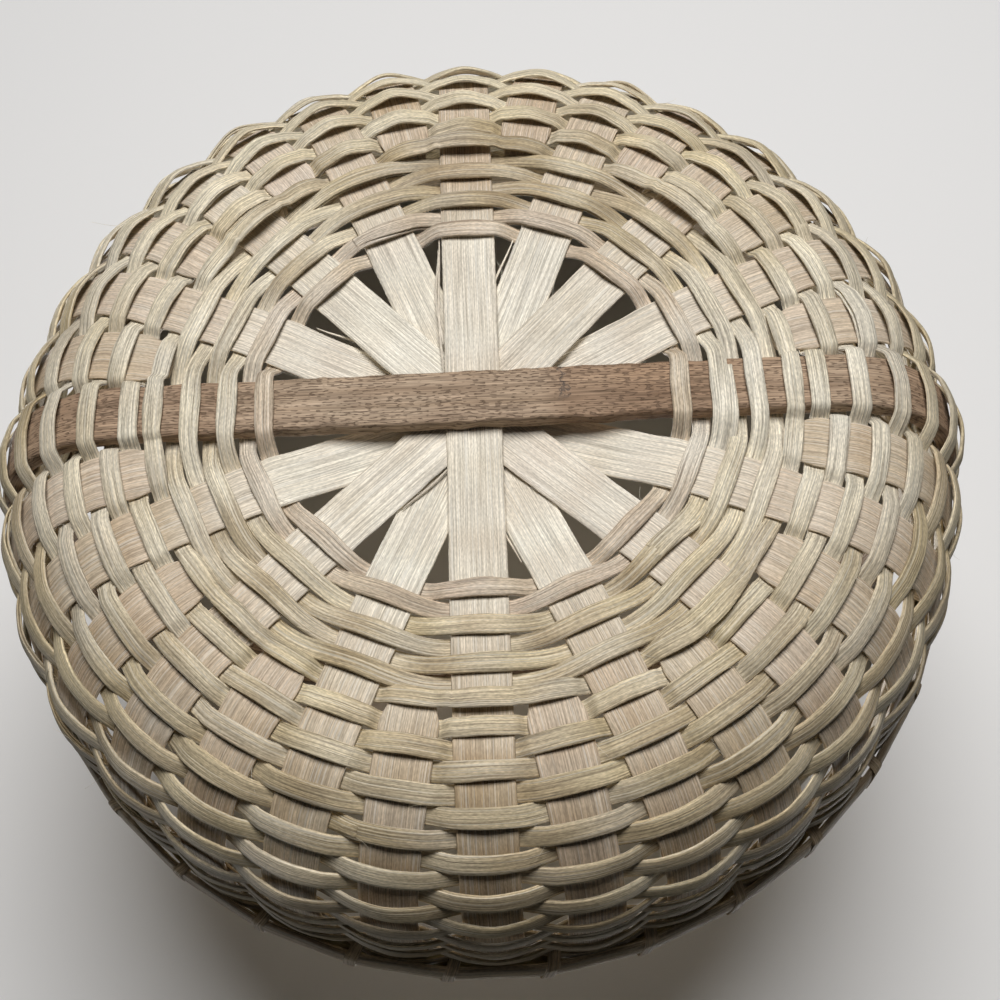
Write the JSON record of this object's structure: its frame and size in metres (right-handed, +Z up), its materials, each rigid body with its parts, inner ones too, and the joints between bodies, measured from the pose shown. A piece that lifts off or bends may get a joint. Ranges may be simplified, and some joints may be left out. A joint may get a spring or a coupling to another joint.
{
  "type": "pie basket",
  "caption": "Round woven reed basket with a flat base, curved sides, a lashed rim and a fixed bent oak hoop handle, for carrying a pie or other flat dish.",
  "frame": {"origin": "centre of the basket on the plane that it stands on, directly under the hub", "axes": "+Z up through the hub and out of the basket's mouth, +X along the oak hoop's runner under the base"},
  "size_m": [0.3474, 0.3474, 0.2694],
  "materials": {
    "oak": "rough sawn brown oak, unvarnished",
    "spoke_reed": "matt straw-coloured flat reed with fine lengthwise fibres",
    "weaver_reed": "matt greenish straw flat oval reed with lengthwise fibres",
    "rim_reed": "matt straw-coloured half-round reed",
    "rush": "matt twisted rush core",
    "lashing_reed": "matt flat reed lashing"
  },
  "bodies": {
    "root": {"hoop_handle": "oak", "long_spoke_1": "spoke_reed", "long_spoke_2": "spoke_reed", "long_spoke_3": "spoke_reed", "long_spoke_4": "spoke_reed", "long_spoke_5": "spoke_reed", "long_spoke_6": "spoke_reed", "long_spoke_7": "spoke_reed", "inserted_spoke_01": "spoke_reed", "inserted_spoke_02": "spoke_reed", "inserted_spoke_03": "spoke_reed", "inserted_spoke_04": "spoke_reed", "inserted_spoke_05": "spoke_reed", "inserted_spoke_06": "spoke_reed", "inserted_spoke_07": "spoke_reed", "inserted_spoke_08": "spoke_reed", "inserted_spoke_09": "spoke_reed", "inserted_spoke_10": "spoke_reed", "inserted_spoke_11": "spoke_reed", "inserted_spoke_12": "spoke_reed", "inserted_spoke_13": "spoke_reed", "inserted_spoke_14": "spoke_reed", "inserted_spoke_15": "spoke_reed", "inserted_spoke_16": "spoke_reed", "base_row_01": "weaver_reed", "base_row_02": "weaver_reed", "base_row_03": "weaver_reed", "base_row_04": "weaver_reed", "base_row_05": "weaver_reed", "base_row_06": "weaver_reed", "base_row_07": "weaver_reed", "side_row_08": "weaver_reed", "side_row_09": "weaver_reed", "side_row_10": "weaver_reed", "side_row_11": "weaver_reed", "side_row_12": "weaver_reed", "side_row_13": "weaver_reed", "side_row_14": "weaver_reed", "side_row_15": "weaver_reed", "side_row_16": "weaver_reed", "side_row_17": "weaver_reed", "side_row_18": "weaver_reed", "side_row_19": "weaver_reed", "side_row_20": "weaver_reed", "side_row_21": "weaver_reed", "side_row_22": "weaver_reed", "side_row_23": "weaver_reed", "side_row_24": "weaver_reed", "rim_row": "weaver_reed", "outer_rim_band": "rim_reed", "inner_rim_band": "rim_reed", "rim_filler_back": "rush", "rim_filler_front": "rush", "rim_lashing": "lashing_reed"}
  },
  "joints": []
}
